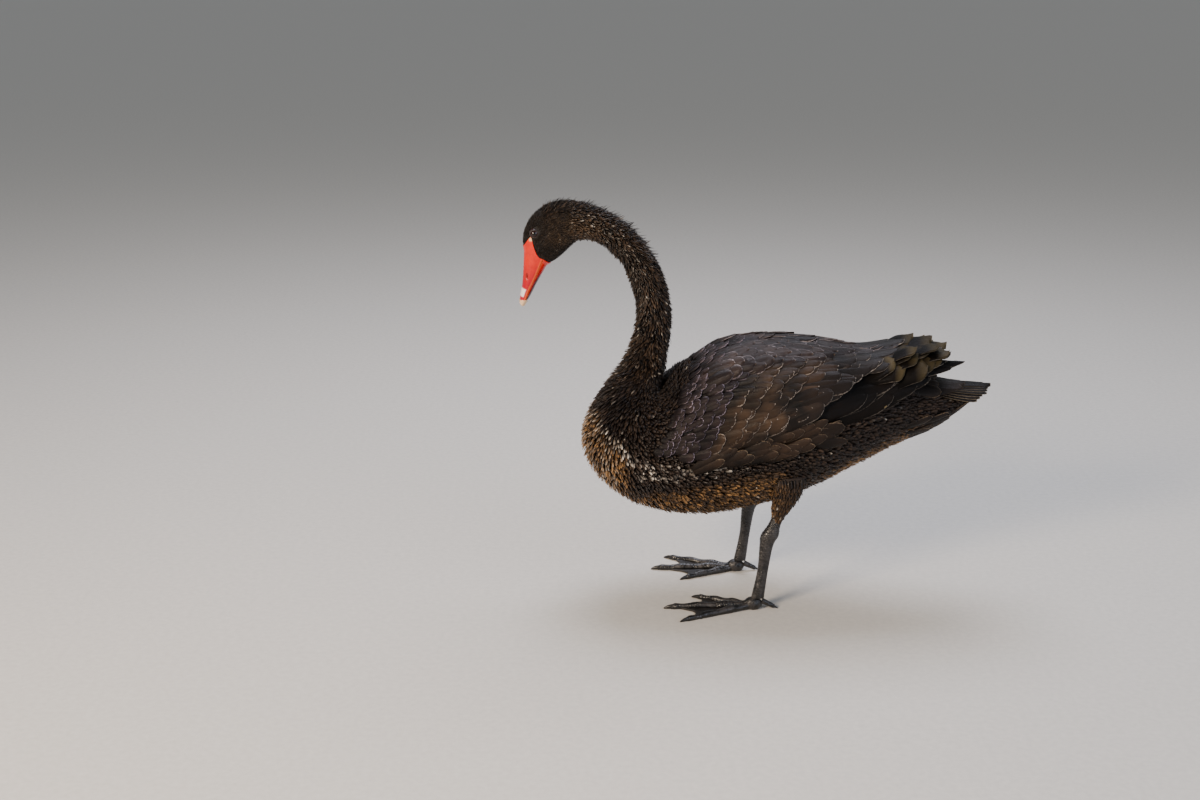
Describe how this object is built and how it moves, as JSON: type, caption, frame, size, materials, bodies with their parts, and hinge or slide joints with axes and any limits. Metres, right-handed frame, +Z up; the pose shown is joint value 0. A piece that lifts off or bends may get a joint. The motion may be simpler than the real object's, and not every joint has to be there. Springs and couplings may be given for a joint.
{
  "type": "black swan",
  "caption": "Life-size black swan standing on webbed feet, neck arched forward and red bill pointing down, wings folded over a short tail.",
  "frame": {"origin": "centre of the bounding box on the floor that the soles stand on", "axes": "+X towards the tail, along the body; +Y towards the bird's right side; +Z up"},
  "size_m": [0.6264, 0.2354, 0.5431],
  "materials": {
    "plumage": "soft dark brown-black feathers",
    "quills": "smooth black feathers with a faint sheen",
    "bill": "satin horn",
    "eye": "wet gloss",
    "leg_skin": "satin scaled skin"
  },
  "bodies": {
    "root": {"torso": "plumage", "neck_lower": "plumage", "neck_middle": "plumage", "neck_upper": "plumage", "head": "plumage", "thigh_left": "plumage", "thigh_right": "plumage", "wing_left": "quills", "wing_right": "quills", "tail": "quills", "bill_upper": "bill", "bill_lower": "bill", "eye_left": "eye", "eye_right": "eye", "shank_left": "leg_skin", "shank_right": "leg_skin", "foot_left": "leg_skin", "foot_right": "leg_skin"}
  },
  "joints": []
}
